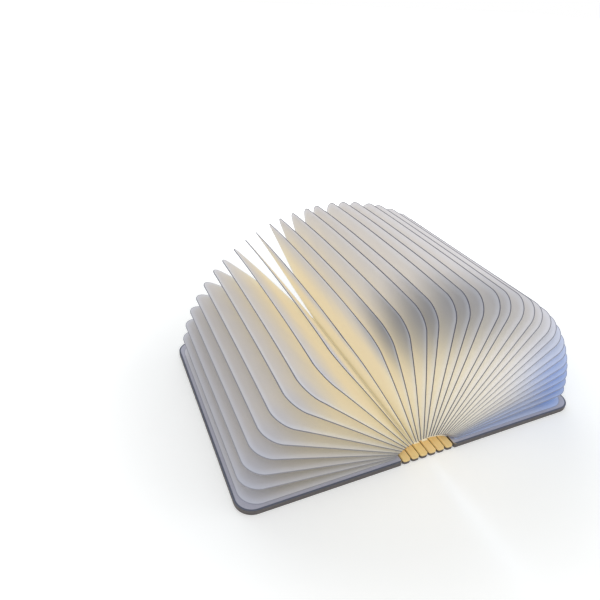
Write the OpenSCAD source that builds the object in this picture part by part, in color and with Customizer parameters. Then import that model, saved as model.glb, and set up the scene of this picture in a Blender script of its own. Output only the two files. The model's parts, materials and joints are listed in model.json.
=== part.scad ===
// Folding lamp in the form of a small book, open flat at 180 degrees.
// Origin: on the table, under the middle of the spine. X runs from the front
// cover to the back cover, Y from the tail edge to the head edge, Z up.

/* [Covers] */
// Width of one cover, from the spine edge to the fore edge
cover_w = 77.2; // [74:1:84]
// Length of the covers and of the spine slats
cover_l = 122; // [116:1:128]
// Whole thickness of a cover and of a slat
cover_t = 2.6; // [2.5:0.1:2.8]
// Thickness of the outer veneer on a cover
veneer_t = 0.6; // [0.4:0.1:0.7]
// Radius of the two fore-edge corners of a cover
fore_r = 8.3; // [4:0.1:12]
// Radius of the two spine-side corners of a cover
spine_r = 1; // [0.5:0.1:3]

/* [Spine] */
// Distance from one hinge line of the spine to the next
slat_pitch = 4.75; // [4.7:0.01:4.8]
// Gap between neighbouring slats, with the hinge line in its middle
slat_gap = 0.8; // [0.75:0.01:0.9]
// Corner radius of the slat ends, seen from above
slat_end_r = 1.2; // [0.5:0.1:1.9]
// Thickness of the hinge cloth between the two layers of the slats
cloth_t = 0.25; // [0.15:0.01:0.35]
// Distance from the slat ends to the ends of the hinge cloth
cloth_inset = 1.2; // [0.5:0.1:4]

/* [Pages] */
// Width of a leaf, from its root at the spine to its fore edge
leaf_w = 76.2; // [70:0.1:76.4]
// Thickness of a leaf
leaf_t = 0.3; // [0.15:0.01:0.32]
// Distance from the cover's edges to the pages' edges
page_margin = 2.2; // [1.5:0.1:5]
// Corner radius of the leaves and end pages at the fore edge
page_r = 9.3; // [4:0.1:12]
// Thickness of an end page
end_page_t = 0.2; // [0.1:0.01:0.25]
// Bare strip of the cover between its spine edge and the end page
bare_strip = 2.2; // [1.5:0.1:4]
// Angle of the first leaf above the back cover
first_angle = 6; // [5.5:0.1:7]
// Angle of the last leaf above the back cover
last_angle = 173; // [172:0.1:174]
// X of the spine end of the stacked leaves when the lamp is closed
root_edge = 14.4; // [14.2:0.1:14.6]
// How far the closed stack bows in at its spine end
root_bow = 2.4; // [1:0.1:2.6]

/* [Light] */
// Width of a light strip's flexible board
strip_w = 3; // [2:0.1:3.4]
// Length of a light strip
strip_l = 108; // [80:1:112]
// Thickness of a light strip's flexible board
strip_t = 0.2; // [0.1:0.05:0.3]
// Width of a light chip, across the slat
chip_w = 1.4; // [0.8:0.1:2.4]
// Length of a light chip, along the slat
chip_l = 2.2; // [1:0.1:3.4]
// Height of a light chip
chip_h = 0.55; // [0.3:0.05:0.9]
// Distance between the light chips
chip_pitch = 6; // [4:0.5:12]

/* [Power] */
// Width of the battery, along X
battery_w = 46; // [38:1:50]
// Length of the battery, along Y
battery_l = 78; // [60:1:82]
// Height of the battery
battery_h = 1.5; // [1:0.05:1.7]
// Width of the charging board, along X
board_w = 22; // [20:0.5:24]
// Length of the charging board, along Y
board_l = 13; // [12:0.5:16]
// Thickness of the charging board's bare plate
board_t = 0.5; // [0.3:0.05:0.7]
// Width of the charging socket's shell, along X
socket_w = 8.4; // [7:0.1:10]
// Depth of the charging socket's shell, along Y
socket_l = 5; // [4:0.1:6]
// Height of the charging socket's shell
socket_h = 1.6; // [1.4:0.05:1.7]
// Distance of the charging socket's middle from the cover's spine edge
socket_x = 20; // [19:0.5:26]
// Diameter of a closing magnet
magnet_d = 6; // [4:0.5:8]
// Height of a closing magnet
magnet_h = 1.4; // [1:0.1:1.6]
// Distance of the magnets' middles from the fore edge
magnet_edge = 7; // [6:0.5:9]

/* [Hidden] */
$fn = 48;
slat_count = 6;
leaf_count = 33;
function two_digits(n) = str(n < 10 ? "0" : "", n);
function leaf_name(i) = str("leaf_", two_digits(i));

// X of the hinge line on the back cover's side; the others follow at the pitch
hinge_x = slat_count / 2 * slat_pitch;
// Turn of each hinge from open to closed
spine_turn = 180 / (slat_count + 1);
// X of the covers' spine edges, left and right
spine_edge = hinge_x + slat_gap / 2;
half_l = cover_l / 2;
page_half_l = half_l - page_margin;
// The cloth stops this far short of a hinge line, so two pieces never meet
cloth_relief = 0.05;
cloth_z = (cover_t - cloth_t) / 2;
// How far the covers' pieces of hinge cloth reach in under the inner layer
cloth_grip = 6;
// Clearance round the pieces that lie in pockets of the covers
pocket_gap = 0.25;
chip_size = [chip_w, chip_l, chip_h];
battery_size = [battery_w, battery_l, battery_h];
board_size = [board_w, board_l, board_t];
socket_size = [socket_w, socket_l, socket_h];
battery_x = spine_edge + 36;
battery_y = -10;
board_x = spine_edge + socket_x;
board_y = half_l - socket_l - board_l / 2 - 1.2;
socket_lift = 0.2;

walnut = [0.42, 0.33, 0.27];
dark_edge = [0.17, 0.16, 0.17];
warm_wood = [0.85, 0.68, 0.42];
dark_cloth = [0.22, 0.14, 0.1];
page_white = [0.93, 0.92, 0.9];

// Angle of leaf i above the back cover: an even fan, denser towards the covers
// and with the small unevenness of hand-folded sheets
function leaf_angle(i) =
    let (u = (i - 1) / (leaf_count - 1), hand_folded = sin(2.4 * i * 180 / PI))
    first_angle + (last_angle - first_angle) * u
    - 6.5 * sin(180 * u) - 2 * sin(540 * u) + 0.6 * hand_folded * sin(180 * u);

// Sums of the closed spine's rise and run over its first k - 1 slats
function spine_rise(k) = k < 2 ? 0 : spine_rise(k - 1) + sin((k - 1) * spine_turn);
function spine_run(k) = k < 2 ? 0 : spine_run(k - 1) + cos((k - 1) * spine_turn);
closed_gap = slat_pitch * spine_rise(slat_count + 1) - cover_t;

// Number of the hinge line that leaf i turns about last as the lamp closes
function leaf_hinge(i) = min(slat_count + 1, floor(leaf_angle(i) / spine_turn) + 1);
// Where leaf i lies from that hinge line, across and along the leaf. Both stay
// the same as the lamp closes into an even stack with a bowed spine end
function root_across(i) =
    cover_t / 2 + end_page_t + (closed_gap - 2 * end_page_t) * i / (leaf_count + 1)
    - slat_pitch * spine_rise(leaf_hinge(i));
function root_along(i) =
    root_edge - root_bow * sin(180 * i / (leaf_count + 1))
    - hinge_x + slat_pitch * spine_run(leaf_hinge(i));
function root_x(i) =
    hinge_x - slat_pitch * (leaf_hinge(i) - 1)
    - root_across(i) * sin(leaf_angle(i)) + root_along(i) * cos(leaf_angle(i));
function root_z(i) =
    cover_t / 2 + root_across(i) * cos(leaf_angle(i)) + root_along(i) * sin(leaf_angle(i));

// Plate outline that starts at X = 0 and has its round corners on the far side
module plate_outline(w, half_length, far_r, near_r) {
    difference() {
        translate([0, -half_length]) square([w, 2 * half_length]);
        for (side = [-1, 1]) {
            corner_cut([w, side * half_length], far_r, 1, side);
            corner_cut([0, side * half_length], near_r, -1, side);
        }
    }
}

// What a round corner takes away; sx and sy point out of the corner
module corner_cut(corner, r, sx, sy) {
    over = 1;
    translate(corner) difference() {
        translate([sx > 0 ? -r : -over, sy > 0 ? -r : -over]) square(r + over);
        translate([-sx * r, -sy * r]) circle(r);
    }
}

module cover_outline() {
    translate([spine_edge, 0]) plate_outline(cover_w, half_l, fore_r, spine_r);
}

// Inner board of a cover, with the slot that holds its hinge cloth
module cover_board() {
    difference() {
        translate([0, 0, veneer_t]) linear_extrude(cover_t - veneer_t) cover_outline();
        cover_cloth();
        magnets(pocket_gap);
    }
}

module cover_veneer() {
    linear_extrude(veneer_t) cover_outline();
}

// Hinge cloth of a cover: it reaches out nearly to the hinge line
module cover_cloth() {
    reach = slat_gap / 2 - cloth_relief;
    translate([spine_edge - reach, cloth_inset - half_l, cloth_z])
        cube([cloth_grip + reach, 2 * (half_l - cloth_inset), cloth_t]);
}

module end_page() {
    page_w = cover_w - bare_strip - page_margin;
    translate([spine_edge + bare_strip, 0, cover_t])
        linear_extrude(end_page_t) plate_outline(page_w, page_half_l, page_r, 0.6);
}

// Pair of closing magnets near the fore edge, or their pockets with a clearance
module magnets(clearance = 0) {
    height = clearance > 0 ? cover_t - veneer_t : magnet_h;
    for (side = [-1, 1])
        translate([spine_edge + cover_w - magnet_edge, side * (half_l - 18), veneer_t])
            cylinder(d = magnet_d + 2 * clearance, h = height);
}

module boxed(centre_x, centre_y, size, z, clearance = 0, height = 0) {
    grown = [size[0] + 2 * clearance, size[1] + 2 * clearance];
    translate([centre_x - grown[0] / 2, centre_y - grown[1] / 2, z])
        cube([grown[0], grown[1], height > 0 ? height : size[2]]);
}

module back_board() {
    through = cover_t - veneer_t + 1;
    channel_w = 2.4;
    color(dark_edge) difference() {
        cover_board();
        boxed(battery_x, battery_y, battery_size, veneer_t, pocket_gap, through);
        boxed(board_x, board_y, board_size, veneer_t, pocket_gap, through);
        socket_notch(through);
        // Channels for the flat leads, from the board to the battery and the spine
        translate([board_x, board_y - channel_w / 2, veneer_t + 0.9])
            cube([battery_x - board_x, channel_w, through]);
        translate([battery_x - channel_w / 2, battery_y, veneer_t + 0.9])
            cube([channel_w, board_y + channel_w / 2 - battery_y, through]);
        translate([spine_edge + cloth_grip + 1, board_y - channel_w / 2, veneer_t + 0.9])
            cube([board_x - spine_edge - cloth_grip - 1, channel_w, through]);
    }
}

module socket_notch(through) {
    depth = socket_l + 1.4;
    w = socket_w + 2 * pocket_gap;
    translate([spine_edge + socket_x - w / 2, half_l - depth, veneer_t])
        cube([w, depth + 1, through]);
}

module back_veneer() {
    color(walnut) cover_veneer();
}

module back_cloth() {
    color(dark_cloth) cover_cloth();
}

module back_end_page() {
    color(page_white) end_page();
}

module back_magnets() {
    color("silver") magnets();
}

// Pouch cell with its folded rims along the two long sides
module battery() {
    rim = 1.2;
    core = [battery_w - 2 * rim, battery_l, battery_h];
    color("silver") {
        boxed(battery_x, battery_y, core, veneer_t);
        for (side = [-1, 1])
            boxed(battery_x + side * (battery_w - rim) / 2, battery_y,
                [rim, battery_l - 4, 0.4], veneer_t + 0.5);
    }
}

// Board with its driver, its charger, two chokes and the sensor that notes opening
module charging_board() {
    top = veneer_t + board_t;
    color("darkgreen") {
        boxed(board_x, board_y, board_size, veneer_t);
        boxed(board_x - 5, board_y + 1, [4, 4, 0.8], top);
        boxed(board_x + 2, board_y + 2, [3, 3, 0.8], top);
        boxed(board_x + 7.5, board_y + 1, [3.2, 2.6, 0.9], top);
        boxed(board_x + 7.5, board_y - 3.4, [3.2, 2.6, 0.9], top);
        boxed(board_x - 7, board_y - 4, [2.6, 1.4, 0.7], top);
        boxed(board_x + 1, board_y - 4, [1.6, 0.8, 0.5], top);
    }
}

// Shell with an oblong mouth at the head edge and the contact tongue inside
module charging_socket() {
    wall = 0.25;
    z0 = veneer_t + socket_lift;
    mouth = [socket_w - 2 * wall, socket_l - 1, socket_h - 2 * wall];
    cx = spine_edge + socket_x;
    cy = half_l - socket_l / 2 - 0.2;
    color("gainsboro") {
        difference() {
            boxed(cx, cy, socket_size, z0);
            boxed(cx, cy + 1, mouth, z0 + wall);
        }
        boxed(cx, cy + 0.2, [mouth[0] - 2.4, mouth[1] - 0.6, 0.4], z0 + socket_h / 2 - 0.2);
    }
}

module front_board() {
    color(dark_edge) mirror([1, 0, 0]) cover_board();
}

module front_veneer() {
    color(walnut) mirror([1, 0, 0]) cover_veneer();
}

module front_cloth() {
    color(dark_cloth) mirror([1, 0, 0]) cover_cloth();
}

module front_end_page() {
    color(page_white) mirror([1, 0, 0]) end_page();
}

module front_magnets() {
    color("silver") mirror([1, 0, 0]) magnets();
}

// X of the middle of slat k, counted from the back cover
function slat_x(k) = hinge_x - (k - 0.5) * slat_pitch;

module slat_outline() {
    w = slat_pitch - slat_gap;
    translate([-w / 2, 0]) plate_outline(w, half_l, slat_end_r, slat_end_r);
}

// A slat is an outer and an inner layer of wood with the cloth between them
module slat(k) {
    layer_t = cloth_z;
    color(warm_wood) translate([slat_x(k), 0, 0])
        for (z = [0, cover_t - layer_t])
            translate([0, 0, z]) linear_extrude(layer_t) slat_outline();
}

module slat_cloth(k) {
    w = slat_pitch - 2 * cloth_relief;
    color(dark_cloth) translate([slat_x(k) - w / 2, cloth_inset - half_l, cloth_z])
        cube([w, 2 * (half_l - cloth_inset), cloth_t]);
}

// Flexible board on the inner face of slat k, with a row of light chips
module light_strip(k) {
    chips = floor((strip_l - chip_l) / chip_pitch);
    color("ivory") {
        boxed(slat_x(k), 0, [strip_w, strip_l, strip_t], cover_t);
        for (n = [0:chips])
            boxed(slat_x(k), (n - chips / 2) * chip_pitch, chip_size, cover_t + strip_t);
    }
}

module leaf(i) {
    color(page_white)
        translate([root_x(i), 0, root_z(i)]) rotate([0, -leaf_angle(i), 0])
            translate([0, 0, -leaf_t / 2])
                linear_extrude(leaf_t) plate_outline(leaf_w, page_half_l, page_r, 0.6);
}

back_board();
back_veneer();
back_cloth();
back_end_page();
back_magnets();
battery();
charging_board();
charging_socket();
front_board();
front_veneer();
front_cloth();
front_end_page();
front_magnets();
for (k = [1:slat_count]) {
    slat(k);
    slat_cloth(k);
}
light_strip(3);  // light_strip_3
light_strip(4);  // light_strip_4
for (i = [1:leaf_count])
    leaf(i);
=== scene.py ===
"""Looks of a folding lamp in the form of a small book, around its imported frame.

Run as a script, it dresses every piece and sets the stage. Lengths are metres.
"""

import json
import math

import bmesh
import bpy
from bpy.props import FloatProperty, FloatVectorProperty, IntProperty, PointerProperty
from mathutils import Matrix, Vector

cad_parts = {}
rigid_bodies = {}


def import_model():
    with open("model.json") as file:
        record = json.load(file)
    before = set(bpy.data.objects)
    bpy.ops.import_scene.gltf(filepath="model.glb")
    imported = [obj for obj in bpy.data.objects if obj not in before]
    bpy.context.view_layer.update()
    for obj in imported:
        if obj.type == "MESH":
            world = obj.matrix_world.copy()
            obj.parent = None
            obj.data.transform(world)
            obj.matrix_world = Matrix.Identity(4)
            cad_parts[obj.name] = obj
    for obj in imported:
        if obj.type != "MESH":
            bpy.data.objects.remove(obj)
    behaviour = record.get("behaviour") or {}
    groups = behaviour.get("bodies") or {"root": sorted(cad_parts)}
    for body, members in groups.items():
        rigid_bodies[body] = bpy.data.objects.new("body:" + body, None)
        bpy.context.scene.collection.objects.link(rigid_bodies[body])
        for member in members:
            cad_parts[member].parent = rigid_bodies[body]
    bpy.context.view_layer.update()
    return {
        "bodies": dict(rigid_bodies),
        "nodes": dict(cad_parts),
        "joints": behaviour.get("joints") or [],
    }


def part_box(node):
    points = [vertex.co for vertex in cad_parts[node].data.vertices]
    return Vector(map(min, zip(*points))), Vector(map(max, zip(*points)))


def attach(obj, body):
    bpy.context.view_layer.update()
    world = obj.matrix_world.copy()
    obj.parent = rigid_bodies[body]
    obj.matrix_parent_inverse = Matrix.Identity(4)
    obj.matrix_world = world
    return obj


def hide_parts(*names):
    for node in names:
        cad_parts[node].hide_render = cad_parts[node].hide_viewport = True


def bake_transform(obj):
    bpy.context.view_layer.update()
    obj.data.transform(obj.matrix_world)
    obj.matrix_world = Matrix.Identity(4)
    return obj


bl_info = {
    "name": "Folding book lamp",
    "version": (1, 0, 0),
    "blender": (4, 5, 0),
    "location": "View3D > Sidebar > Book Lamp",
    "description": "Dresses the covers, spine, leaves and lights of a folding book lamp",
    "category": "Object",
}

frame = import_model()

MM = 0.001
BLACK = (0.0, 0.0, 0.0)
NODES = frame["nodes"]
JOINT_POS = {joint["name"]: Vector(joint["pos_m"]) for joint in frame["joints"]}
SLATS = sorted(name for name in frame["bodies"] if name.startswith("slat_"))
LEAVES = sorted(name for name in frame["bodies"] if name.startswith("leaf_"))
COVERS = ("back", "front")


def corners(node):
    """Lowest and highest corner of a node"""
    low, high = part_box(node)
    return Vector(low), Vector(high)


BOARD_LOW, BOARD_HIGH = corners("back_board")
PAGE_LOW, PAGE_HIGH = corners("back_end_page")
CLOTH_LOW, CLOTH_HIGH = corners("slat_cloth_1")


# Settings


def length(name, description, default):
    """A setting in metres"""
    return FloatProperty(name=name, description=description, default=default, min=0.0, unit="LENGTH")


def angle(name, description, degrees):
    """A setting that turns something"""
    return FloatProperty(name=name, description=description, default=math.radians(degrees), unit="ROTATION")


def power(name, description, watts):
    """A setting for a light's power"""
    return FloatProperty(name=name, description=description, default=watts, min=0.0, unit="POWER")


def colour(name, description, default):
    """A setting that holds a colour"""
    return FloatVectorProperty(
        name=name, description=description, default=default, size=3, subtype="COLOR",
        min=0.0, max=1.0,
    )


def extent(name, description, default):
    """A setting with three lengths, along X, Y and Z"""
    return FloatVectorProperty(name=name, description=description, default=default, size=3, unit="LENGTH")


class BOOKLAMP_PG_paper(bpy.types.PropertyGroup):
    """Sizes and colours of the leaves and end pages"""

    corner: length("Corner", "Radius of a leaf's fore-edge corners", 9.3 * MM)
    root_corner: length("Root corner", "Radius of a leaf's corners at the spine", 3.0 * MM)
    # The dark edge line is painted shade
    edge_line: length("Edge line", "Width of the dark line along a leaf's edge", 0.38 * MM)
    flare: length("Flare", "Bend of the middle leaves' corners", 1.6 * MM)
    fold_dip: length("Fold dip", "How far a root fold sinks below the leaves it joins", 0.9 * MM)
    # The root folds take the painted light tone found at this distance from the spine
    fold_tone: length("Fold tone", "Distance from the spine whose tone the root folds have", 14 * MM)
    rows: IntProperty(name="Rows", description="Faces across a leaf", default=40, min=8)
    # The paper colours from the spine outwards are painted light: warm where the strips' light reaches,
    # cooler and greyer where less light falls
    near: colour("Near the spine", "Paper colour where the light reaches it", (0.88, 0.84, 0.71))
    warm: colour("Warm middle", "Paper colour halfway out, over the front cover", (0.76, 0.69, 0.50))
    cool: colour("Cool middle", "Paper colour halfway out, over the back cover", (0.70, 0.69, 0.69))
    grey: colour("Grey fore edge", "Fore-edge colour over the front cover", (0.54, 0.525, 0.54))
    # Painted bluish sky light on the fore edges over the back cover
    blue: colour("Blue fore edge", "Fore-edge colour over the back cover", (0.40, 0.54, 0.86))
    # Painted shade along the leaf edges
    line: colour("Line", "Colour of the line along the edges", (0.07, 0.075, 0.115))
    # Painted highlight just inside the edge line
    band: colour("Band", "Pale colour just inside the line", (0.72, 0.76, 0.90))
    # Painted shade and painted highlight round the tail corners
    shade: colour("Shade", "Paper colour round the tail corners, over the back cover", (0.24, 0.27, 0.33))
    gleam: colour("Gleam", "Paper colour round the tail corners, over the front cover", (0.54, 0.59, 0.75))
    shade_reach: length("Shade reach", "Distance from the corners at which their shade ends", 40 * MM)
    # The paper's glow is painted light: light of the strips that comes through the paper, given off by the
    # paper itself
    glow: colour("Glow", "Colour of the light in the paper at the spine", (0.43, 0.37, 0.24))
    haze: colour("Haze", "Colour of the light in the paper farther out", (1.0, 0.95, 0.87))
    glow_reach: length("Glow reach", "Distance over which the light in the paper fades", 34 * MM)
    glow_strength: FloatProperty(
        name="Glow strength", description="Light that the paper gives off", default=0.26, min=0.0
    )


class BOOKLAMP_PG_wood(bpy.types.PropertyGroup):
    """Sizes and colours of the covers and slats"""

    bevel: length("Bevel", "Rounding of the wooden edges", 0.3 * MM)
    corner: length("Corner", "Radius of the covers' fore-edge corners", 8.3 * MM)
    light: colour("Veneer light", "Light streaks of the walnut", (0.36, 0.27, 0.20))
    dark: colour("Veneer dark", "Dark streaks of the walnut", (0.13, 0.088, 0.062))
    edge: colour("Edge", "Cut edge of the boards", (0.10, 0.09, 0.088))
    lining: colour("Lining", "Inner face of the covers", (0.50, 0.50, 0.58))
    lip: colour("Lip", "Band along the covers' outer edge", (0.125, 0.138, 0.18))
    lip_width: length("Lip width", "Width of the dark band along the covers' edge", 0.9 * MM)
    # The slat colour is painted golden light of the strips on pale plywood
    slat: colour("Slat", "Inner layer of the slats", (0.84, 0.64, 0.26))


class BOOKLAMP_PG_spine(bpy.types.PropertyGroup):
    """Sizes of the hinge cloth and of the light chips"""

    cloth_width: length("Cloth width", "Width of the cloth round a hinge line", 1.5 * MM)
    cloth_rise: length("Cloth rise", "How far that cloth stands out of the cloth in the slats", 0.04 * MM)
    bend_reach: length("Bend reach", "How far from the hinge line the cloth bends", 0.35 * MM)
    open_gap: length("Open gap", "Half of the slit in the cloth at the open hinge", 0.1 * MM)
    strip_thickness: length("Strip thickness", "Thickness of the light strips' board", 0.2 * MM)
    chip_pitch: length("Chip pitch", "Distance from one light chip to the next", 6.0 * MM)
    chip_size: extent("Chip size", "Size of a light chip", (1.4 * MM, 2.2 * MM, 0.52 * MM))


class BOOKLAMP_PG_stage(bpy.types.PropertyGroup):
    """Camera, floor and lights"""

    camera_at: extent("Camera", "Place of the camera", (-0.12706, -0.18436, 0.18398))
    turn: angle("Turn", "Camera's turn", -24.75)
    tilt: angle("Tilt", "Camera's look down", 31.66)
    roll: angle("Roll", "Camera's roll", 3.05)
    lens: FloatProperty(name="Lens", description="Focal length on a 36 mm sensor", default=30.47, min=1.0)
    floor: colour("Floor", "Colour of the floor and backdrop", (0.94, 0.94, 0.92))
    shadow_end: length("Shadow end", "Distance at which the floor starts to turn white", 100 * MM)
    white_start: length("White start", "Distance from which the floor is white", 300 * MM)
    sky: FloatProperty(
        name="Sky", description="Strength of the even light from all round", default=0.50, min=0.0
    )
    key: power("Key", "Power of the key light", 3.6)
    side: power("Side", "Power of the bluish side light", 2.0)
    rear: power("Rear", "Power of the light behind", 3.4)


class BOOKLAMP_PG_settings(bpy.types.PropertyGroup):
    """All settings of the lamp"""

    paper: PointerProperty(type=BOOKLAMP_PG_paper)
    wood: PointerProperty(type=BOOKLAMP_PG_wood)
    spine: PointerProperty(type=BOOKLAMP_PG_spine)
    stage: PointerProperty(type=BOOKLAMP_PG_stage)


def settings():
    """The lamp's settings in this scene"""
    return bpy.context.scene.book_lamp


# Node trees


class Tree:
    """Adds and links nodes of one tree in few words."""

    def __init__(self, tree):
        self.tree = tree

    def add(self, kind, inputs=None, **props):
        """New node with these properties and inputs"""
        node = self.tree.nodes.new(kind)
        for key, value in props.items():
            setattr(node, key, value)
        for key, value in (inputs or {}).items():
            self.put(node.inputs[key], value)
        return node

    def put(self, socket, value):
        """Links a socket or node to the socket, or sets its value"""
        if isinstance(value, bpy.types.NodeSocket):
            self.tree.links.new(value, socket)
        elif isinstance(value, bpy.types.Node):
            self.tree.links.new(value.outputs[0], socket)
        elif value is not None:
            socket.default_value = value

    def math(self, operation, *values):
        return self.add("ShaderNodeMath", dict(enumerate(values)), operation=operation).outputs[0]

    def plus(self, first, second):
        return self.math("ADD", first, second)

    def minus(self, first, second):
        return self.math("SUBTRACT", first, second)

    def times(self, first, second):
        return self.math("MULTIPLY", first, second)

    def larger(self, first, second):
        return self.math("MAXIMUM", first, second)

    def rest(self, share):
        """What a share leaves of 1"""
        return self.minus(1.0, share)

    def rising(self, value, start, slope):
        """start where the value is 0, and slope more where it is 1"""
        return self.math("MULTIPLY_ADD", value, slope, start)

    def smooth(self, value, low, high):
        """0 below low, 1 above high and smooth between them"""
        inputs = {"Value": value, "From Min": low, "From Max": high}
        return self.add("ShaderNodeMapRange", inputs, interpolation_type="SMOOTHSTEP").outputs[0]

    def vector_math(self, operation, *values):
        return self.add("ShaderNodeVectorMath", dict(enumerate(values)), operation=operation).outputs

    def length(self, vector):
        return self.vector_math("LENGTH", vector)["Value"]

    def split(self, vector):
        return self.add("ShaderNodeSeparateXYZ", {0: vector}).outputs

    def join(self, x, y, z):
        return self.add("ShaderNodeCombineXYZ", {0: x, 1: y, 2: z}).outputs[0]

    def seen(self):
        """1 for rays from the camera, off gloss and through glass, and 0 for all others"""
        paths = self.add("ShaderNodeLightPath").outputs
        direct = self.larger(paths["Is Camera Ray"], paths["Is Glossy Ray"])
        return self.larger(direct, paths["Is Transmission Ray"])


class Shader(Tree):
    """A material with a Principled shader and its usual helpers."""

    def __init__(self, name, **sockets):
        self.material = bpy.data.materials.new(name)
        self.material.use_nodes = True
        super().__init__(self.material.node_tree)
        self.main = self.tree.nodes["Principled BSDF"]
        for key, value in sockets.items():
            self.main.inputs[key.replace("_", " ")].default_value = value

    def place(self, scale=(1, 1, 1)):
        """Object coordinates in metres times scale"""
        where = self.add("ShaderNodeTexCoord").outputs["Object"]
        return self.add("ShaderNodeMapping", {"Vector": where, "Scale": scale}).outputs[0]

    def stored(self, name, output):
        """An attribute that the mesh brings with it"""
        return self.add("ShaderNodeAttribute", attribute_name=name).outputs[output]

    def noise(self, vector, scale, detail=4.0, roughness=0.55, distortion=0.0):
        inputs = {
            "Vector": vector, "Scale": scale, "Detail": detail,
            "Roughness": roughness, "Distortion": distortion,
        }
        return self.add("ShaderNodeTexNoise", inputs).outputs["Fac"]

    def ramp(self, value, *stops):
        """Colour ramp through the stops, each a position and a colour"""
        node = self.add("ShaderNodeValToRGB", {0: value})
        elements = node.color_ramp.elements
        while len(elements) < len(stops):
            elements.new(0.5)
        for element, (position, tint) in zip(elements, stops):
            element.position = position
            element.color = (*tint, 1.0)
        return node.outputs[0]

    def mix(self, amount, first, second, blend="MIX"):
        """Colour that goes from first to second as the amount goes from 0 to 1"""
        node = self.add("ShaderNodeMix", data_type="RGBA", blend_type=blend)
        for key, value in ((0, amount), (6, first), (7, second)):
            plain = not isinstance(value, (int, float, bpy.types.NodeSocket, bpy.types.Node))
            self.put(node.inputs[key], (*value, 1.0) if plain else value)
        return node.outputs[2]

    def bump(self, height, distance, strength=0.5):
        inputs = {"Height": height, "Distance": distance, "Strength": strength}
        self.put(self.main.inputs["Normal"], self.add("ShaderNodeBump", inputs).outputs[0])

    def colour(self, value):
        self.put(self.main.inputs["Base Color"], value)

    def light(self, value):
        """Colour of the light that the surface gives off"""
        self.put(self.main.inputs["Emission Color"], value)


def scaled(tint, factor):
    """The colour, lighter or darker"""
    return tuple(component * factor for component in tint)


# Wood


def walnut_veneer(name, seed):
    """Sliced walnut: broad streaks along the spine, fine grain and open pores"""
    wood = settings().wood
    shader = Shader(name, Roughness=0.5, Specular_IOR_Level=0.35)
    along_spine = shader.place((1.0, 0.035, 1.0))
    shifted = shader.vector_math("ADD", along_spine, (seed, 0.0, seed))[0]
    figure = shader.noise(shifted, 55.0, 3.0, 0.5, 1.2)
    streaks = shader.noise(shifted, 210.0, 5.0, 0.6, 0.6)
    fine = shader.noise(shifted, 1500.0, 3.0, 0.6)
    tone = shader.plus(shader.times(figure, 0.62), shader.times(streaks, 0.38))
    base = shader.ramp(
        tone, (0.36, wood.dark), (0.47, scaled(wood.dark, 1.65)),
        (0.56, wood.light), (0.70, scaled(wood.light, 1.25)),
    )
    grain = shader.ramp(fine, (0.35, (0.55, 0.52, 0.5)), (0.62, (1.0, 1.0, 1.0)))
    grained = shader.mix(0.55, base, grain, "MULTIPLY")
    pores = shader.noise(shader.place((1.0, 0.05, 1.0)), 2600.0, 2.0, 0.5)
    open_pore = shader.smooth(pores, 0.62, 0.70)
    shader.colour(shader.mix(shader.times(open_pore, 0.55), grained, scaled(wood.dark, 0.6)))
    shader.bump(shader.minus(fine, open_pore), 0.06 * MM, 0.6)
    return shader.material


def slat_wood():
    """Pale plywood layer, painted golden and glowing as in the light of the strips"""
    wood = settings().wood
    shader = Shader("slat wood", Roughness=0.55, Specular_IOR_Level=0.3, Emission_Strength=0.16)
    grain = shader.noise(shader.place((1.0, 0.05, 1.0)), 900.0, 4.0, 0.6, 0.4)
    broad = shader.noise(shader.place((1.0, 0.2, 1.0)), 160.0, 2.0)
    base = shader.mix(grain, scaled(wood.slat, 0.78), scaled(wood.slat, 1.12))
    tinted = shader.mix(shader.times(broad, 0.5), base, (0.80, 0.50, 0.30))
    # Painted light: the golden tint and the glow stand in for the strips' warm light
    shader.colour(tinted)
    shader.light(tinted)
    shader.bump(grain, 0.05 * MM, 0.5)
    return shader.material


def board_edge():
    """Dark cut edge of the boards with the layers just visible"""
    edge = settings().wood.edge
    shader = Shader("board edge", Roughness=0.6, Specular_IOR_Level=0.3)
    layers = shader.noise(shader.place((0.05, 0.05, 1.0)), 2200.0, 2.0)
    fibres = shader.noise(shader.place((1.0, 1.0, 0.3)), 1400.0, 3.0)
    base = shader.mix(layers, scaled(edge, 0.7), scaled(edge, 1.6))
    shader.colour(shader.mix(shader.times(fibres, 0.4), base, scaled(edge, 2.2)))
    shader.bump(fibres, 0.05 * MM, 0.5)
    return shader.material


def cover_lining():
    """Smooth lining on the inner face, with a faint laid structure and a dark lip"""
    wood = settings().wood
    shader = Shader("cover lining", Roughness=0.7, Specular_IOR_Level=0.25)
    laid = shader.noise(shader.place((1.0, 0.2, 1.0)), 1800.0, 3.0)
    cloud = shader.noise(shader.place(), 90.0, 3.0)
    base = shader.mix(cloud, scaled(wood.lining, 0.85), scaled(wood.lining, 1.2))
    base = shader.mix(shader.times(laid, 0.35), base, scaled(wood.lining, 0.7))
    where = shader.stored("leaf_uv", "Vector")
    inward = distance_to_edge(shader, where, BOARD_HIGH.x - BOARD_LOW.x, BOARD_HIGH.y, wood.corner)
    within = shader.smooth(inward, wood.lip_width * 0.8, wood.lip_width * 1.1)
    shader.colour(shader.mix(within, wood.lip, base))
    shader.bump(laid, 0.03 * MM, 0.4)
    return shader.material


# Paper
#
# leaf_uv holds how far a point lies from the sheet's spine edge and from its middle.
# fan is 0 on the back cover and 1 on the front cover, with the leaves evenly between.


def distance_to_edge(shader, where, width, half_length, corner):
    """Distance from a point of a sheet in to its nearest free edge"""
    x, y, _ = shader.split(where)
    out_x = shader.minus(x, width - corner)
    out_y = shader.minus(shader.math("ABSOLUTE", y), half_length - corner)
    past_corner = shader.join(shader.larger(out_x, 0.0), shader.larger(out_y, 0.0), 0.0)
    inside = shader.math("MINIMUM", shader.larger(out_x, out_y), 0.0)
    return shader.minus(corner, shader.plus(shader.length(past_corner), inside))


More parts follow.
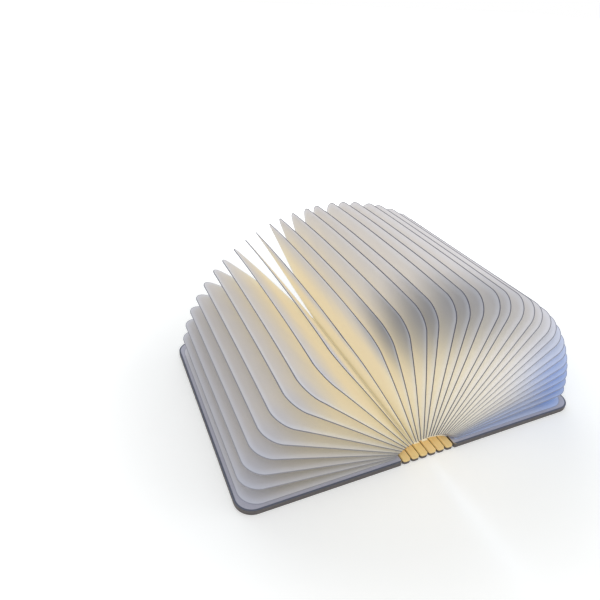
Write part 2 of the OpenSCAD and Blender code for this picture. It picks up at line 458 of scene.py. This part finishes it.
def lying(shader, fan):
    """0 for the leaves that stand and 1 for those that lie near a cover"""
    return shader.smooth(shader.math("ABSOLUTE", shader.rising(fan, -1.2, 2.0)), 0.15, 0.95)


def openness(shader, fan):
    """1 in the middle of the fan, and less towards the covers, where the leaves lie close"""
    half_turn = shader.math("ABSOLUTE", shader.rising(fan, -1.0, 2.0))
    return shader.rest(shader.smooth(half_turn, 0.5, 1.05))


def painted_sky_blueness(shader, fan, outward):
    """How much painted bluish sky light the paper shows, most at the fore edges by the back cover"""
    by_back = shader.rest(shader.smooth(fan, 0.04, 0.34))
    on_back = shader.rest(shader.smooth(fan, 0.0, 0.12))
    at_edge = shader.times(by_back, shader.smooth(outward, 0.40, 0.95))
    return shader.larger(at_edge, shader.times(on_back, 0.6))


def painted_light_tone(shader, fan, outward, open_share):
    """Painted light as paper colour from the spine to the fore edge, before any blue: warm where the strips'
    light reaches, cooler and greyer farther out
    """
    look = settings().paper
    over_front = shader.smooth(fan, 0.15, 0.70)
    on_front = shader.smooth(fan, 0.80, 1.0)
    middle = shader.mix(over_front, look.cool, look.warm)
    middle = shader.mix(shader.times(on_front, 0.7), middle, look.grey)
    near = shader.rest(shader.smooth(outward, 0.02, 0.75))
    # The warm tone is strongest where the fan is open: painted light of the strips
    near = shader.times(near, shader.rising(open_share, 0.3, 0.7))
    tone = shader.mix(near, middle, look.near)
    return shader.mix(shader.smooth(outward, 0.60, 1.02), tone, look.grey)


def paper_light(shader, from_spine, sky_light_share):
    """Painted glow that the paper gives off, warm at the spine and bluish where the painted sky light is"""
    look = settings().paper
    glowing = shader.math("EXPONENT", shader.times(from_spine, -1.0 / look.glow_reach))
    haze, glow, blue = (scaled(tint, look.glow_strength) for tint in (look.haze, look.glow, look.blue))
    light = shader.mix(glowing, haze, glow)
    return shader.mix(shader.times(sky_light_share, 0.8), light, blue)


def paper(name, width, half_length, lined=True):
    """Spun-bonded paper that carries the light outwards from the spine, that light painted on as colour, glow
    and shade
    """
    look = settings().paper
    shader = Shader(name, Roughness=0.75, Specular_IOR_Level=0.2, Emission_Strength=1.0)
    where = shader.stored("leaf_uv", "Vector")
    fan = shader.stored("fan", "Fac")
    x, y, _ = shader.split(where)
    cloud = shader.noise(where, 60.0, 3.0, 0.5)
    wavering = shader.times(shader.minus(cloud, 0.5), 0.16)
    outward = shader.plus(shader.math("DIVIDE", x, width), wavering)
    open_share = openness(shader, fan)
    sky_light_share = painted_sky_blueness(shader, fan, outward)
    # Painted bluish sky light mixed into the paper colour
    base = shader.mix(sky_light_share, painted_light_tone(shader, fan, outward, open_share), look.blue)
    fibres = shader.noise(where, 1500.0, 5.0, 0.7, 1.5)
    swirls = shader.smooth(fibres, 0.46, 0.68)
    base = shader.mix(shader.times(swirls, 0.16), base, scaled(look.grey, 0.75))

    # Painted shade darkens the tail corners over the back cover, and a painted highlight makes them gleam
    # over the front cover; the paper gives off less light there
    to_corner = shader.length(shader.join(shader.minus(width, x), shader.plus(half_length, y), 0.0))
    front = shader.smooth(fan, 0.66, 0.72)
    reach = shader.rising(front, look.shade_reach, -0.5 * look.shade_reach)
    nearness = shader.rest(shader.smooth(shader.math("DIVIDE", to_corner, reach), 0.0, 1.0))
    shaded = shader.times(nearness, shader.rising(shader.smooth(fan, 0.26, 0.54), 0.18, 0.82))
    tone = shader.mix(front, look.shade, look.gleam)
    base = shader.mix(shader.times(shaded, shader.rising(front, 0.45, -0.05)), base, tone)
    dimming = shader.times(shaded, shader.rising(front, -0.85, 0.65))
    # The glow is painted light, strongest where the fan is open and dimmed round the shaded tail corners
    lit = shader.times(shader.rising(open_share, 0.2, 0.8), shader.plus(dimming, 1.0))
    light = shader.mix(lit, BLACK, paper_light(shader, x, sky_light_share))

    if lined:
        inward = distance_to_edge(shader, where, width, half_length, look.corner)
        line = shader.rest(shader.smooth(inward, look.edge_line * 0.5, look.edge_line))
        # Painted highlight: a pale band just inside the line
        band = shader.rest(shader.smooth(inward, look.edge_line, look.edge_line * 10))
        base = shader.mix(shader.times(band, 0.35), base, look.band)
        # Painted shade along the edges, lighter on the leaves that lie near a cover; the line gives off no
        # light
        edge_shade = shader.times(line, shader.rising(lying(shader, fan), 0.85, -0.5))
        base = shader.mix(edge_shade, base, look.line)
        light = shader.mix(line, light, BLACK)
    shader.colour(base)
    shader.light(light)
    shader.bump(fibres, 0.04 * MM, 0.35)
    return shader.material


def leaf_rim():
    """Cut edge of a leaf, which shows as a dark line: painted shade, paler on the leaves that lie near a
    cover
    """
    look = settings().paper
    shader = Shader("leaf rim", Roughness=0.7, Specular_IOR_Level=0.2)
    grain = shader.noise(shader.place(), 2500.0, 2.0)
    line = shader.mix(grain, scaled(look.line, 0.8), scaled(look.line, 1.5))
    paler = shader.times(lying(shader, shader.stored("fan", "Fac")), 0.75)
    shader.colour(shader.mix(paler, line, look.grey))
    shader.bump(grain, 0.03 * MM, 0.4)
    return shader.material


# Cloth, metal and circuits


def hinge_cloth():
    """Dark brown woven cloth between the slats"""
    shader = Shader("hinge cloth", Roughness=0.9, Specular_IOR_Level=0.15)
    threads_per_metre = 2600.0
    x, y, _ = shader.split(shader.place((threads_per_metre, threads_per_metre, 1.0)))
    warp, weft = (shader.math("SINE", shader.times(across, math.tau)) for across in (x, y))
    weave = shader.rising(shader.times(warp, weft), 0.5, 0.5)
    fuzz = shader.noise(shader.place(), 3000.0, 2.0)
    base = shader.mix(weave, (0.030, 0.016, 0.010), (0.085, 0.050, 0.032))
    shader.colour(shader.mix(shader.times(fuzz, 0.4), base, (0.11, 0.07, 0.05)))
    shader.bump(weave, 0.06 * MM, 0.7)
    return shader.material


def metal(name, tint, roughness, streak=(1.0, 1.0, 1.0)):
    """Metal with fine scratches, drawn out along the axes with a small streak"""
    shader = Shader(name, Metallic=1.0)
    scratches = shader.noise(shader.place(streak), 1800.0, 4.0)
    shader.colour(shader.mix(scratches, scaled(tint, 0.86), scaled(tint, 1.08)))
    shader.put(shader.main.inputs["Roughness"], shader.rising(scratches, roughness - 0.1, 0.2))
    shader.bump(scratches, 0.02 * MM, 0.4)
    return shader.material


def circuit_mask():
    """Green solder mask with paler copper runs under it"""
    shader = Shader("circuit mask", Roughness=0.35)
    runs = shader.noise(shader.place((1.0, 0.15, 1.0)), 1300.0, 1.0)
    copper = shader.smooth(runs, 0.52, 0.56)
    shader.colour(shader.mix(copper, (0.012, 0.10, 0.045), (0.03, 0.20, 0.09)))
    shader.bump(copper, 0.03 * MM, 0.5)
    return shader.material


def strip_board():
    """White flexible board with a painted glow of its own chips' light"""
    shader = Shader("strip board", Roughness=0.45, Emission_Strength=0.25)
    cloud = shader.noise(shader.place(), 700.0, 3.0)
    base = shader.mix(cloud, (0.80, 0.74, 0.58), (0.92, 0.88, 0.76))
    shader.colour(base)
    shader.light(base)
    shader.bump(cloud, 0.02 * MM, 0.3)
    return shader.material


def light_chip():
    """Yellow phosphor of a warm light chip, lit"""
    shader = Shader("light chip", Roughness=0.4, Emission_Strength=1.6)
    grain = shader.noise(shader.place(), 3000.0, 2.0)
    base = shader.mix(grain, (1.0, 0.72, 0.28), (1.0, 0.86, 0.48))
    shader.colour(base)
    shader.light(base)
    return shader.material


# Making and keeping pieces


def add_object(name, data):
    """New object in the scene"""
    piece = bpy.data.objects.new(name, data)
    bpy.context.scene.collection.objects.link(piece)
    return piece


def add_piece(name, work):
    """New object with the mesh of a bmesh, which is freed"""
    mesh = bpy.data.meshes.new(name)
    work.to_mesh(mesh)
    work.free()
    return add_object(name, mesh)


def apply_modifiers(piece):
    """Makes what the modifiers show the piece's plain mesh"""
    depsgraph = bpy.context.evaluated_depsgraph_get()
    depsgraph.update()
    mesh = bpy.data.meshes.new_from_object(
        piece.evaluated_get(depsgraph), preserve_all_data_layers=True, depsgraph=depsgraph
    )
    piece.modifiers.clear()
    piece.data = mesh


def bevelled_copy(node, name, bevel, segments=2):
    """Copy of a CAD node with merged corners, flat faces and rounded edges"""
    mesh = NODES[node].data.copy()
    mesh.materials.clear()
    work = bmesh.new()
    work.from_mesh(mesh)
    bmesh.ops.remove_doubles(work, verts=work.verts, dist=0.001 * MM)
    bmesh.ops.dissolve_limit(work, angle_limit=math.radians(1.0), verts=work.verts, edges=work.edges)
    work.to_mesh(mesh)
    work.free()
    piece = add_object(name, mesh)
    if bevel > 0:
        rounding = piece.modifiers.new("rounding", "BEVEL")
        rounding.width = bevel
        rounding.segments = segments
        rounding.limit_method = "ANGLE"
        rounding.angle_limit = math.radians(40)
        rounding.use_clamp_overlap = True
        apply_modifiers(piece)
    return piece


def dress(piece, materials, choose=lambda face: 0):
    """Gives each face the material whose number choose(face) returns"""
    for finish in materials:
        piece.data.materials.append(finish)
    for face in piece.data.polygons:
        face.material_index = choose(face)
        face.use_smooth = False


def finish_node(node, finish):
    """Gives a CAD node that stays as it is its material"""
    NODES[node].data.materials.clear()
    NODES[node].data.materials.append(finish)


def keep(piece, body, slot, *nodes):
    """Says what the piece rides on and the nodes that it stands for; the finish it is given is not used"""
    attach(piece, body)
    if nodes:
        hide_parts(*nodes)


def material(name, make, *args):
    """The material of that name, made the first time it is asked for"""
    return bpy.data.materials.get(name) or make(*args)


def store_places(mesh, from_spine, fan):
    """Stores from_spine(point) and the place along the spine of each point, and its fan"""
    values = [value for vertex in mesh.vertices for value in (from_spine(vertex.co), vertex.co.y, 0.0)]
    mesh.attributes.new("leaf_uv", "FLOAT_VECTOR", "POINT").data.foreach_set("vector", values)
    mesh.attributes.new("fan", "FLOAT", "POINT").data.foreach_set("value", [fan] * len(mesh.vertices))


# Geometry trees


def new_geometry_tree(name, **sockets):
    """Geometry tree with the named inputs and one geometry output"""
    tree = bpy.data.node_groups.new(name, "GeometryNodeTree")
    for label, kind in sockets.items():
        tree.interface.new_socket(label.replace("_", " "), in_out="INPUT", socket_type="NodeSocket" + kind)
    tree.interface.new_socket("Geometry", in_out="OUTPUT", socket_type="NodeSocketGeometry")
    helper = Tree(tree)
    given = tree.nodes.new("NodeGroupInput").outputs
    return helper, {label: given[label.replace("_", " ")] for label in sockets}


def with_material(helper, geometry, finish, selection=None):
    """The geometry with a material on the selected faces, or on all of them"""
    inputs = {"Geometry": geometry, "Material": finish, "Selection": selection}
    return helper.add("GeometryNodeSetMaterial", inputs)


def with_attribute(helper, geometry, name, kind, value):
    """The geometry with a value stored on each of its points"""
    inputs = {"Geometry": geometry, "Name": name, "Value": value}
    return helper.add("GeometryNodeStoreNamedAttribute", inputs, data_type=kind, domain="POINT")


def joined(helper, first, second):
    both = helper.add("GeometryNodeJoinGeometry", {"Geometry": first})
    helper.put(both.inputs["Geometry"], second)
    return both


def finish_tree(helper, geometry):
    """Realizes the geometry and makes it the tree's output"""
    result = helper.tree.nodes.new("NodeGroupOutput")
    helper.put(result.inputs[0], helper.add("GeometryNodeRealizeInstances", {"Geometry": geometry}))
    return helper.tree


def run_tree(name, tree, **values):
    """New object whose mesh is what the tree makes of the given values"""
    piece = add_object(name, bpy.data.meshes.new(name))
    modifier = piece.modifiers.new("shape", "NODES")
    modifier.node_group = tree
    for item in tree.interface.items_tree:
        label = item.name.replace(" ", "_")
        if item.in_out == "INPUT" and label in values:
            modifier[item.identifier] = values[label]
    apply_modifiers(piece)
    return piece


# Leaves


def leaf_place(node):
    """Root, direction, normal, width, half length and thickness of a leaf"""
    mesh = NODES[node].data
    largest = max(mesh.polygons, key=lambda face: face.area)
    along = Vector((largest.normal.z, 0.0, -largest.normal.x)).normalized()
    if along.z < 0:
        along.negate()
    normal = Vector((-along.z, 0.0, along.x))
    reach = [vertex.co.dot(along) for vertex in mesh.vertices]
    level = [vertex.co.dot(normal) for vertex in mesh.vertices]
    low, high = corners(node)
    return {
        "root": along * min(reach) + normal * (min(level) + max(level)) / 2,
        "along": along, "normal": normal, "width": max(reach) - min(reach),
        "half_length": (high.y - low.y) / 2, "thickness": max(level) - min(level),
    }


PLACES = {name: leaf_place(name) for name in LEAVES}
LEAF = PLACES[LEAVES[0]]


def corner_drop(helper, from_edge, radius):
    """How far a rounded corner draws an edge in, at a distance from the other edge"""
    short = helper.larger(helper.minus(radius, from_edge), 0.0)
    squares = helper.minus(helper.times(radius, radius), helper.times(short, short))
    return helper.minus(radius, helper.math("SQRT", helper.larger(squares, 0.0)))


def leaf_tree():
    """One leaf: a grid shaped to its outline, bent a little and given thickness"""
    helper, given = new_geometry_tree(
        "leaf", Width="Float", Half_Length="Float", Corner="Float", Root_Corner="Float",
        Thickness="Float", Flare="Float", Fan="Float", Columns="Int", Rows="Int",
        Sheet="Material", Rim="Material",
    )
    grid = helper.add(
        "GeometryNodeMeshGrid",
        {"Size X": 1.0, "Size Y": 2.0, "Vertices X": given["Columns"], "Vertices Y": given["Rows"]},
    )
    x, y, _ = helper.split(helper.add("GeometryNodeInputPosition"))
    share = helper.plus(x, 0.5)
    # Columns lie closer towards the fore edge, where the corners turn
    eased = helper.rest(helper.math("POWER", helper.rest(share), 1.9))
    across = helper.times(eased, given["Width"])
    fore = corner_drop(helper, helper.minus(given["Width"], across), given["Corner"])
    root = corner_drop(helper, across, given["Root_Corner"])
    half = helper.minus(given["Half_Length"], helper.plus(fore, root))
    up = helper.times(y, half)
    # The outer half flares, most at the two ends
    swing = helper.smooth(share, 0.25, 1.0)
    ends = helper.math("POWER", helper.math("ABSOLUTE", y), 2.5)
    lift = helper.times(helper.times(swing, ends), given["Flare"])
    level = helper.rising(given["Thickness"], lift, -0.5)

    # Stored on the flat grid, because a later node would read the moved points
    mapped = with_attribute(helper, grid, "leaf_uv", "FLOAT_VECTOR", helper.join(across, up, 0.0))
    mapped = with_attribute(helper, mapped, "fan", "FLOAT", given["Fan"])
    shape = {"Geometry": mapped, "Position": helper.join(across, up, level)}
    bent = helper.add("GeometryNodeSetPosition", shape)
    thickening = {
        "Mesh": bent, "Offset": helper.join(0.0, 0.0, 1.0),
        "Offset Scale": given["Thickness"], "Individual": False,
    }
    risen = helper.add("GeometryNodeExtrudeMesh", thickening, mode="FACES").outputs
    under = with_material(helper, helper.add("GeometryNodeFlipFaces", {"Mesh": bent}), given["Sheet"])
    upper = with_material(helper, risen["Mesh"], given["Sheet"])
    rimmed = with_material(helper, upper, given["Rim"], risen["Side"])
    closing = {"Geometry": joined(helper, under, rimmed), "Distance": 0.001 * MM}
    whole = helper.add("GeometryNodeMergeByDistance", closing)
    flat = helper.add("GeometryNodeSetShadeSmooth", {"Geometry": whole, "Shade Smooth": False})
    return finish_tree(helper, flat)


class BOOKLAMP_OT_leaves(bpy.types.Operator):
    """Make the leaves of the accordion"""

    bl_idname = "booklamp.leaves"
    bl_label = "Leaves"

    def execute(self, context):
        look = settings().paper
        sheet = material("leaf paper", paper, "leaf paper", LEAF["width"], LEAF["half_length"])
        rim = material("leaf rim", leaf_rim)
        tree = leaf_tree()
        for number, name in enumerate(LEAVES):
            place = PLACES[name]
            fan = number / (len(LEAVES) - 1)
            piece = run_tree(
                name.replace("leaf", "page"), tree, Width=place["width"], Half_Length=place["half_length"],
                Corner=look.corner, Root_Corner=look.root_corner, Thickness=place["thickness"],
                Flare=look.flare * (1.0 - abs(2.0 * fan - 1.0)), Fan=fan, Columns=look.rows,
                Rows=look.rows + 12, Sheet=sheet, Rim=rim,
            )
            turn = Matrix((place["along"], (0.0, 1.0, 0.0), place["normal"])).transposed().to_4x4()
            piece.data.transform(Matrix.Translation(place["root"]) @ turn)
            keep(piece, name, "page", name)
        return {"FINISHED"}


class BOOKLAMP_OT_root_folds(bpy.types.Operator):
    """Make the soft folds that join the leaves at their roots"""

    bl_idname = "booklamp.root_folds"
    bl_label = "Root folds"

    def execute(self, context):
        half = LEAF["half_length"] - settings().paper.root_corner
        sheet = material("fold paper", paper, "fold paper", LEAF["width"], half, False)
        chain = {"back_cover": page_root(1), **PLACES, "front_cover": page_root(-1)}
        bodies = list(chain)
        for number, (name, following) in enumerate(zip(bodies, bodies[1:])):
            one, two = chain[name], chain[following]
            piece = fold_strip(f"fold_{number:02d}", one, two, half, number / len(LEAVES))
            piece.data.materials.append(sheet)
            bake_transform(piece)
        return {"FINISHED"}


def page_root(side):
    """Spine edge of a cover's end page, as a leaf's place; side is 1 at the back, -1 in front"""
    return {
        "root": Vector((side * PAGE_LOW.x, 0.0, (PAGE_LOW.z + PAGE_HIGH.z) / 2)),
        "along": Vector((side, 0.0, 0.0)), "thickness": PAGE_HIGH.z - PAGE_LOW.z,
    }


def fold_strip(name, one, two, half, fan):
    """Paper that leaves one leaf's root, dips and runs into the next root"""
    look = settings().paper
    steps, rows = 8, 24
    away = -(one["along"] + two["along"]).normalized()
    thickness = one["thickness"] * 0.8
    work = bmesh.new()
    uppers, lowers = [], []
    for step in range(steps + 1):
        share = step / steps
        dip = look.fold_dip * math.sin(math.pi * share) ** 0.7
        middle = one["root"].lerp(two["root"], share) + away * dip
        normal = one["along"].lerp(two["along"], share).normalized()
        for rings, side in ((uppers, 0.5), (lowers, -0.5)):
            centre = middle + normal * thickness * side
            rings.append([
                work.verts.new(centre + Vector((0.0, half * (2 * row / rows - 1), 0.0)))
                for row in range(rows + 1)
            ])

    def quad(*corners_of_face):
        work.faces.new([rings[step][row] for rings, step, row in corners_of_face])

    for step in range(steps):
        for row in range(rows):
            for rings in (uppers, lowers):
                quad(
                    (rings, step, row), (rings, step + 1, row),
                    (rings, step + 1, row + 1), (rings, step, row + 1),
                )
        for row in (0, rows):
            quad((uppers, step, row), (uppers, step + 1, row), (lowers, step + 1, row), (lowers, step, row))
    for step in (0, steps):
        for row in range(rows):
            quad((uppers, step, row), (uppers, step, row + 1), (lowers, step, row + 1), (lowers, step, row))
    bmesh.ops.recalc_face_normals(work, faces=work.faces)
    piece = add_piece(name, work)
    store_places(piece.data, lambda point: look.fold_tone, fan)
    return piece


# Covers


class BOOKLAMP_OT_covers(bpy.types.Operator):
    """Dress the boards, veneers and end pages of both covers"""

    bl_idname = "booklamp.covers"
    bl_label = "Covers"

    def execute(self, context):
        bevel = settings().wood.bevel
        edge = material("board edge", board_edge)
        lining = material("cover lining", cover_lining)
        # The board's bare face by the spine takes the slat wood, with its painted golden light and glow
        bare = material("slat wood", slat_wood)
        width, half_length = PAGE_HIGH.x - PAGE_LOW.x, (PAGE_HIGH.y - PAGE_LOW.y) / 2
        page = material("end page paper", paper, "end page paper", width, half_length)

        def board_face(face):
            if face.normal.z < 0.7:
                return 0
            return 2 if abs(face.center.x) < PAGE_LOW.x else 1

        for fan, side in enumerate(COVERS):
            body = side + "_cover"
            board = bevelled_copy(side + "_board", side + "_cover_board", bevel)
            store_places(board.data, lambda point: abs(point.x) - BOARD_LOW.x, float(fan))
            dress(board, (edge, lining, bare), board_face)
            keep(board, body, "dark_board", side + "_board")
            veneer = bevelled_copy(side + "_veneer", side + "_cover_veneer", bevel * 0.8)
            walnut = walnut_veneer(side + " walnut", 3.7 + 1.9 * fan)
            dress(veneer, (edge, walnut), lambda face: 1 if face.normal.z < -0.7 else 0)
            keep(veneer, body, "walnut", side + "_veneer")
            sheet = bevelled_copy(side + "_end_page", side + "_cover_page", 0.0)
            store_places(sheet.data, lambda point: abs(point.x) - PAGE_LOW.x, float(fan))
            dress(sheet, (page,))
            keep(sheet, body, "page", side + "_end_page")
        return {"FINISHED"}


# Spine


class BOOKLAMP_OT_slats(bpy.types.Operator):
    """Dress the slats of the spine"""

    bl_idname = "booklamp.slats"
    bl_label = "Slats"

    def execute(self, context):
        pale = material("slat wood", slat_wood)
        edge = material("board edge", board_edge)
        cloth_level = (CLOTH_LOW.z + CLOTH_HIGH.z) / 2

        def slat_face(face):
            if face.center.z > cloth_level:
                return 0
            return 1 if face.normal.z < -0.7 else 2

        for number, name in enumerate(SLATS):
            piece = bevelled_copy(name, name + "_wood", settings().wood.bevel, 3)
            walnut = walnut_veneer(f"slat walnut {number + 1}", 9.1 + 0.8 * number)
            dress(piece, (pale, walnut, edge), slat_face)
            keep(piece, name, "slat_wood", name)
        return {"FINISHED"}


class BOOKLAMP_OT_hinges(bpy.types.Operator):
    """Make the hinge cloth and the folds that cross each gap of the spine"""

    bl_idname = "booklamp.hinges"
    bl_label = "Hinge cloth"

    def execute(self, context):
        cloth = material("hinge cloth", hinge_cloth)
        nodes = [side + "_cloth" for side in COVERS]
        nodes += [slat.replace("slat", "slat_cloth") for slat in SLATS]
        for node in nodes:
            finish_node(node, cloth)
        look = settings().spine
        chain = ["back_cover", *SLATS, "front_cover"]
        first, last = JOINT_POS["slat_hinge_1"], JOINT_POS["slat_hinge_7"]
        for number, (body, following) in enumerate(zip(chain, chain[1:])):
            line = first.lerp(last, number / len(SLATS))
            name = f"hinge_fold_{number + 1}"
            if number == len(SLATS) // 2:
                # The loop's open hinge: each side brings half of the cloth
                half = (look.cloth_width / 2 - look.open_gap) / 2
                for side, rider in ((1, body), (-1, following)):
                    centre = line + Vector((side * (look.open_gap + half), 0.0, 0.0))
                    piece = gap_cloth(f"{name}_{rider}", centre, half, cloth)
                    keep(piece, rider, "hinge_cloth")
            else:
                piece = gap_cloth(name, line, look.cloth_width / 2, cloth)
                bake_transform(piece)
        return {"FINISHED"}


def gap_cloth(name, centre, half_width, cloth):
    """Band of cloth round the hinge line, from inside one slat to inside the next"""
    steps, rows = 6, 30
    half_height = (CLOTH_HIGH.z - CLOTH_LOW.z) / 2 + settings().spine.cloth_rise
    half_length = CLOTH_HIGH.y
    work = bmesh.new()
    bmesh.ops.create_cube(work, size=2.0)
    bmesh.ops.scale(work, vec=(half_width, half_length, half_height), verts=work.verts)
    bmesh.ops.translate(work, vec=centre, verts=work.verts)
    for axis, cuts, half in ((0, steps, half_width), (1, rows, half_length)):
        normal = Vector((axis == 0, axis == 1, 0))
        for cut in range(1, cuts):
            at = Vector(centre)
            at[axis] += half * (2 * cut / cuts - 1)
            everything = work.verts[:] + work.edges[:] + work.faces[:]
            bmesh.ops.bisect_plane(work, geom=everything, plane_co=at, plane_no=normal)
    piece = add_piece(name, work)
    piece.data.materials.append(cloth)
    return piece


# Light and power


def chips_tree():
    """A row of light chips in their cases, evenly spaced along Y"""
    helper, given = new_geometry_tree(
        "chips", Count="Int", Pitch="Float", Size="Vector", Start="Vector", Chip="Material",
        Case="Material",
    )
    steps = {
        "Count": given["Count"], "Start Location": given["Start"],
        "Offset": helper.join(0.0, given["Pitch"], 0.0),
    }
    line = helper.add("GeometryNodeMeshLine", steps, mode="OFFSET")
    case = helper.add("GeometryNodeMeshCube", {"Size": given["Size"]})
    lens_size = helper.vector_math("MULTIPLY", given["Size"], (0.78, 0.82, 1.0))[0]
    lens = helper.add("GeometryNodeMeshCube", {"Size": lens_size})
    raised = helper.add("GeometryNodeTransform", {"Geometry": lens, "Translation": (0.0, 0.0, 0.03 * MM)})
    cased = with_material(helper, case, given["Case"])
    chip = joined(helper, cased, with_material(helper, raised, given["Chip"]))
    return finish_tree(helper, helper.add("GeometryNodeInstanceOnPoints", {"Points": line, "Instance": chip}))


class BOOKLAMP_OT_lights(bpy.types.Operator):
    """Make the light strips on the middle slats"""

    bl_idname = "booklamp.lights"
    bl_label = "Light strips"

    def execute(self, context):
        look = settings().spine
        board = material("strip board", strip_board)
        chip = material("light chip", light_chip)
        tree = chips_tree()
        pitch, size = look.chip_pitch, Vector(look.chip_size)
        for name in ("light_strip_3", "light_strip_4"):
            low, high = corners(name)
            body = name.replace("light_strip", "slat")
            strip = bevelled_copy(name, name + "_board", 0.0)
            count = int((high.y - low.y - size.y) / pitch) + 1
            level = low.z + look.strip_thickness + size.z / 2
            start = Vector(((low.x + high.x) / 2, -(count - 1) / 2 * pitch, level))
            row = run_tree(
                name + "_chips", tree, Count=count, Pitch=pitch, Size=size, Start=start,
                Chip=chip, Case=board,
            )
            dress(strip, (board,))
            keep(strip, body, "light_strip", name)
            keep(row, body, "light_strip")
        return {"FINISHED"}


class BOOKLAMP_OT_power(bpy.types.Operator):
    """Dress the battery, charging board, socket and magnets"""

    bl_idname = "booklamp.power"
    bl_label = "Power"

    def execute(self, context):
        finish_node("battery", metal("battery foil", (0.66, 0.67, 0.69), 0.35))
        finish_node("charging_board", circuit_mask())
        plating = metal("magnet plating", (0.62, 0.61, 0.60), 0.25)
        for side in COVERS:
            finish_node(side + "_magnets", plating)
        shell = bevelled_copy("charging_socket", "charging_socket_shell", 0.06 * MM)
        dress(shell, (metal("socket steel", (0.70, 0.70, 0.72), 0.28, (1.0, 0.2, 1.0)),))
        keep(shell, "back_cover", "socket_metal", "charging_socket")
        return {"FINISHED"}


# Stage


def floor_paint():
    """Pale floor that the camera sees white, and that keeps the shadow"""
    look = settings().stage
    shader = Shader("floor", Roughness=0.9, Specular_IOR_Level=0.1)
    shader.main.inputs["Base Color"].default_value = (*look.floor, 1.0)
    shader.main.inputs["Emission Color"].default_value = (1.0, 1.0, 1.0, 1.0)
    away = shader.length(shader.place())
    level = shader.rising(shader.smooth(away, look.shadow_end, look.white_start), 0.2, 0.8)
    shader.put(shader.main.inputs["Emission Strength"], shader.times(shader.seen(), level))
    return shader.material


def add_floor():
    """Wide floor at the lamp's rest face"""
    work = bmesh.new()
    bmesh.ops.create_grid(work, x_segments=2, y_segments=2, size=6.0)
    floor = add_piece("floor", work)
    floor.data.materials.append(floor_paint())


def add_camera():
    """Camera at the photograph's place and angle"""
    look = settings().stage
    ahead = Vector((
        -math.sin(look.turn) * math.cos(look.tilt),
        math.cos(look.turn) * math.cos(look.tilt),
        -math.sin(look.tilt),
    ))
    level = Vector((math.cos(look.turn), math.sin(look.turn), 0.0))
    upright = level.cross(ahead)
    right = level * math.cos(look.roll) + upright * math.sin(look.roll)
    up = upright * math.cos(look.roll) - level * math.sin(look.roll)
    data = bpy.data.cameras.new("camera")
    data.lens = look.lens
    data.sensor_width = 36.0
    data.clip_start = 5 * MM
    camera = add_object("camera", data)
    turn = Matrix((right, up, -ahead)).transposed().to_4x4()
    camera.matrix_world = Matrix.Translation(look.camera_at) @ turn
    bpy.context.scene.camera = camera


def add_sky():
    """Even light from all round, which the camera sees as white"""
    world = bpy.data.worlds.new("studio")
    bpy.context.scene.world = world
    world.use_nodes = True
    sky = Tree(world.node_tree)
    light = world.node_tree.nodes["Background"]
    light.inputs["Color"].default_value = (0.93, 0.96, 1.0, 1.0)
    light.inputs["Strength"].default_value = settings().stage.sky
    white = sky.add("ShaderNodeBackground", {"Color": (1.0, 1.0, 1.0, 1.0), "Strength": 1.0})
    both = sky.add("ShaderNodeMixShader", {0: sky.seen(), 1: light, 2: white})
    sky.put(world.node_tree.nodes["World Output"].inputs["Surface"], both)


def area_light(name, at, size, watts, tint):
    """Round soft light that faces the lamp"""
    data = bpy.data.lights.new(name, "AREA")
    data.shape = "DISK"
    data.size = size
    data.energy = watts
    data.color = tint
    lamp = add_object(name, data)
    lamp.location = at
    aim = Vector((0.0, 0.0, 0.03)) - Vector(at)
    lamp.rotation_euler = aim.to_track_quat("-Z", "Y").to_euler()


class BOOKLAMP_OT_stage(bpy.types.Operator):
    """Set the camera, the floor and the lights"""

    bl_idname = "booklamp.stage"
    bl_label = "Stage"

    def execute(self, context):
        look = settings().stage
        add_camera()
        add_floor()
        add_sky()
        area_light("key", (-0.5, -0.5, 0.9), 0.9, look.key, (1.0, 0.98, 0.95))
        area_light("side", (0.9, -0.2, 0.5), 1.0, look.side, (0.88, 0.93, 1.0))
        area_light("rear", (0.1, 0.9, 0.7), 1.3, look.rear, (0.88, 0.93, 1.0))
        context.scene.view_settings.view_transform = "Standard"
        return {"FINISHED"}


# Add-on


class BOOKLAMP_PT_panel(bpy.types.Panel):
    """Buttons of the lamp's pieces"""

    bl_label = "Book Lamp"
    bl_idname = "BOOKLAMP_PT_panel"
    bl_space_type = "VIEW_3D"
    bl_region_type = "UI"
    bl_category = "Book Lamp"

    def draw(self, context):
        for operator in OPERATORS:
            self.layout.operator(operator.bl_idname)


OPERATORS = (
    BOOKLAMP_OT_covers, BOOKLAMP_OT_slats, BOOKLAMP_OT_hinges, BOOKLAMP_OT_leaves,
    BOOKLAMP_OT_root_folds, BOOKLAMP_OT_lights, BOOKLAMP_OT_power, BOOKLAMP_OT_stage,
)
CLASSES = (
    BOOKLAMP_PG_paper, BOOKLAMP_PG_wood, BOOKLAMP_PG_spine, BOOKLAMP_PG_stage, BOOKLAMP_PG_settings,
    *OPERATORS, BOOKLAMP_PT_panel,
)


def register():
    for cls in CLASSES:
        bpy.utils.register_class(cls)
    bpy.types.Scene.book_lamp = PointerProperty(type=BOOKLAMP_PG_settings)


def unregister():
    del bpy.types.Scene.book_lamp
    for cls in reversed(CLASSES):
        bpy.utils.unregister_class(cls)


def main():
    """Makes the whole lamp and its stage"""
    register()
    for operator in OPERATORS:
        group, name = operator.bl_idname.split(".")
        getattr(getattr(bpy.ops, group), name)()


if __name__ == "__main__":
    main()
